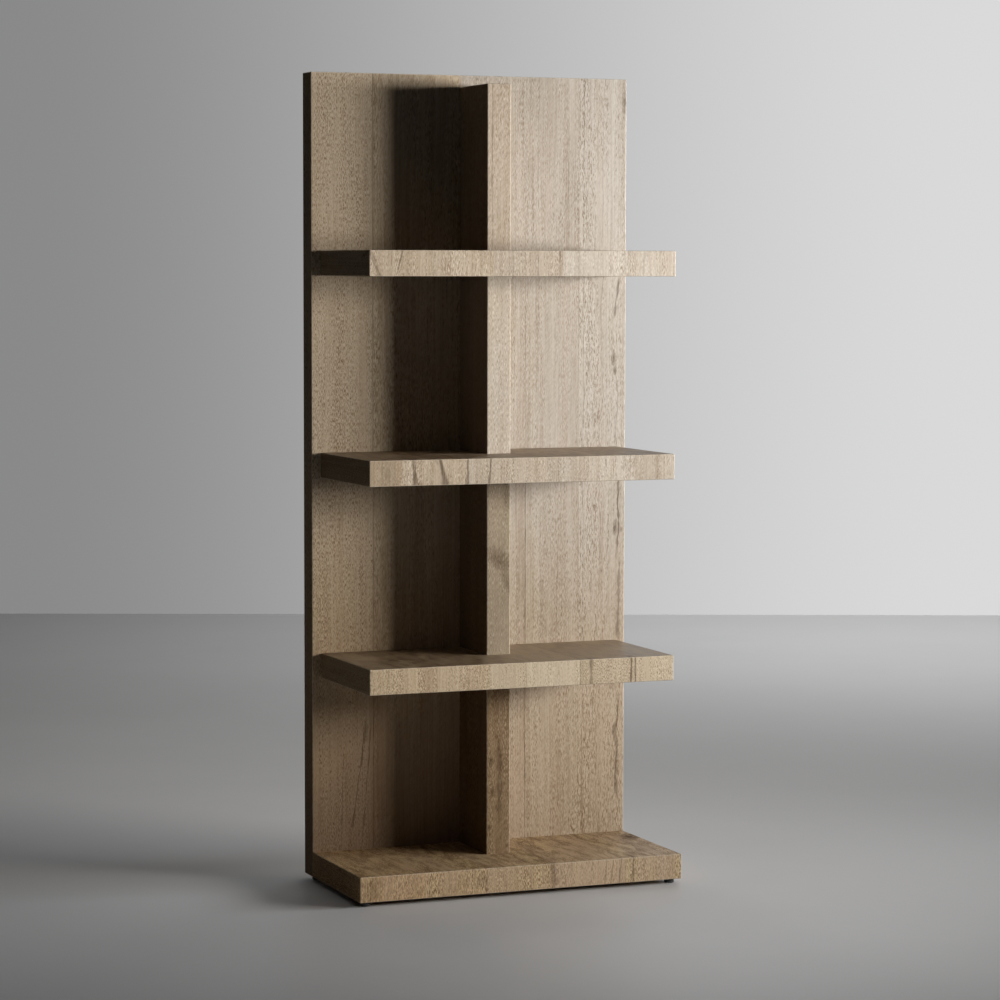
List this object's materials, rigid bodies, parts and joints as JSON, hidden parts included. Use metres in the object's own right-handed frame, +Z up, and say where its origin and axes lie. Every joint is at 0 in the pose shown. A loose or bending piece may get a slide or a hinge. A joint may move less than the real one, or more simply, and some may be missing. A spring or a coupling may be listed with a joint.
{
  "type": "bookcase",
  "caption": "Free-standing open bookcase: thick wooden shelves and base in front of a full-height back panel, parted by an upright central spine, on small levelling feet.",
  "frame": {"origin": "on the floor, under the middle of the part", "axes": "+Z up, -Y towards the open front of the shelves, X along the shelves"},
  "size_m": [0.864, 0.4236, 2.044],
  "materials": {
    "weathered_wood": "matte open-pored hardwood",
    "core_wood": "planed softwood",
    "dowel_wood": "turned beech",
    "black_plastic": "moulded, fine texture",
    "black_steel": "black oxide",
    "zinc_steel": "zinc plated"
  },
  "bodies": {
    "case": {"back_panel_bottom_lipping": "weathered_wood", "back_panel_front_skin": "weathered_wood", "back_panel_left_lipping": "weathered_wood", "back_panel_rails": "core_wood", "back_panel_rear_skin": "weathered_wood", "back_panel_right_lipping": "weathered_wood", "back_panel_stiles": "core_wood", "back_panel_top_lipping": "weathered_wood", "base_core_frame": "core_wood", "base_front_lipping": "weathered_wood", "base_left_lipping": "weathered_wood", "base_right_lipping": "weathered_wood", "base_top_skin": "weathered_wood", "base_underside_skin": "weathered_wood", "connector_bolts": "black_steel", "dowels": "dowel_wood", "foot_bushes": "zinc_steel", "insert_nuts": "zinc_steel", "lower_shelf_core_frame": "core_wood", "lower_shelf_front_lipping": "weathered_wood", "lower_shelf_left_lipping": "weathered_wood", "lower_shelf_right_lipping": "weathered_wood", "lower_shelf_top_skin": "weathered_wood", "lower_shelf_underside_skin": "weathered_wood", "middle_shelf_core_frame": "core_wood", "middle_shelf_front_lipping": "weathered_wood", "middle_shelf_left_lipping": "weathered_wood", "middle_shelf_right_lipping": "weathered_wood", "middle_shelf_top_skin": "weathered_wood", "middle_shelf_underside_skin": "weathered_wood", "spine_1_front_lipping": "weathered_wood", "spine_1_left_cheek": "weathered_wood", "spine_1_right_cheek": "weathered_wood", "spine_2_front_lipping": "weathered_wood", "spine_2_left_cheek": "weathered_wood", "spine_2_right_cheek": "weathered_wood", "spine_3_front_lipping": "weathered_wood", "spine_3_left_cheek": "weathered_wood", "spine_3_right_cheek": "weathered_wood", "spine_4_front_lipping": "weathered_wood", "spine_4_left_cheek": "weathered_wood", "spine_4_right_cheek": "weathered_wood", "spine_battens": "core_wood", "spine_cap": "weathered_wood", "upper_shelf_core_frame": "core_wood", "upper_shelf_front_lipping": "weathered_wood", "upper_shelf_left_lipping": "weathered_wood", "upper_shelf_right_lipping": "weathered_wood", "upper_shelf_top_skin": "weathered_wood", "upper_shelf_underside_skin": "weathered_wood"},
    "front_left_pad": {"front_left_foot_pad": "black_plastic"},
    "front_left_stem": {"front_left_foot_stem": "zinc_steel"},
    "front_right_pad": {"front_right_foot_pad": "black_plastic"},
    "front_right_stem": {"front_right_foot_stem": "zinc_steel"},
    "rear_left_pad": {"rear_left_foot_pad": "black_plastic"},
    "rear_left_stem": {"rear_left_foot_stem": "zinc_steel"},
    "rear_right_pad": {"rear_right_foot_pad": "black_plastic"},
    "rear_right_stem": {"rear_right_foot_stem": "zinc_steel"}
  },
  "joints": [
    {"name": "front_left_lift", "type": "slide", "parent": "case", "child": "front_left_pad", "axis": [0, 0, -1], "range_m": [0, 0.012]},
    {"name": "front_left_turn", "type": "hinge", "parent": "front_left_pad", "child": "front_left_stem", "pos_m": [-0.409, -0.18575, 0.009], "axis": [0, 0, -1], "range_deg": [0, 3456]},
    {"name": "front_right_lift", "type": "slide", "parent": "case", "child": "front_right_pad", "axis": [0, 0, -1], "range_m": [0, 0.012]},
    {"name": "front_right_turn", "type": "hinge", "parent": "front_right_pad", "child": "front_right_stem", "pos_m": [0.409, -0.18575, 0.009], "axis": [0, 0, -1], "range_deg": [0, 3456]},
    {"name": "rear_left_lift", "type": "slide", "parent": "case", "child": "rear_left_pad", "axis": [0, 0, -1], "range_m": [0, 0.012]},
    {"name": "rear_left_turn", "type": "hinge", "parent": "rear_left_pad", "child": "rear_left_stem", "pos_m": [-0.409, 0.18075, 0.009], "axis": [0, 0, -1], "range_deg": [0, 3456]},
    {"name": "rear_right_lift", "type": "slide", "parent": "case", "child": "rear_right_pad", "axis": [0, 0, -1], "range_m": [0, 0.012]},
    {"name": "rear_right_turn", "type": "hinge", "parent": "rear_right_pad", "child": "rear_right_stem", "pos_m": [0.409, 0.18075, 0.009], "axis": [0, 0, -1], "range_deg": [0, 3456]}
  ],
  "couplings": [
    {"joint": "front_left_lift", "follows": "front_left_turn", "m_per_rad": 0.00019894},
    {"joint": "front_right_lift", "follows": "front_right_turn", "m_per_rad": 0.00019894},
    {"joint": "rear_left_lift", "follows": "rear_left_turn", "m_per_rad": 0.00019894},
    {"joint": "rear_right_lift", "follows": "rear_right_turn", "m_per_rad": 0.00019894}
  ]
}
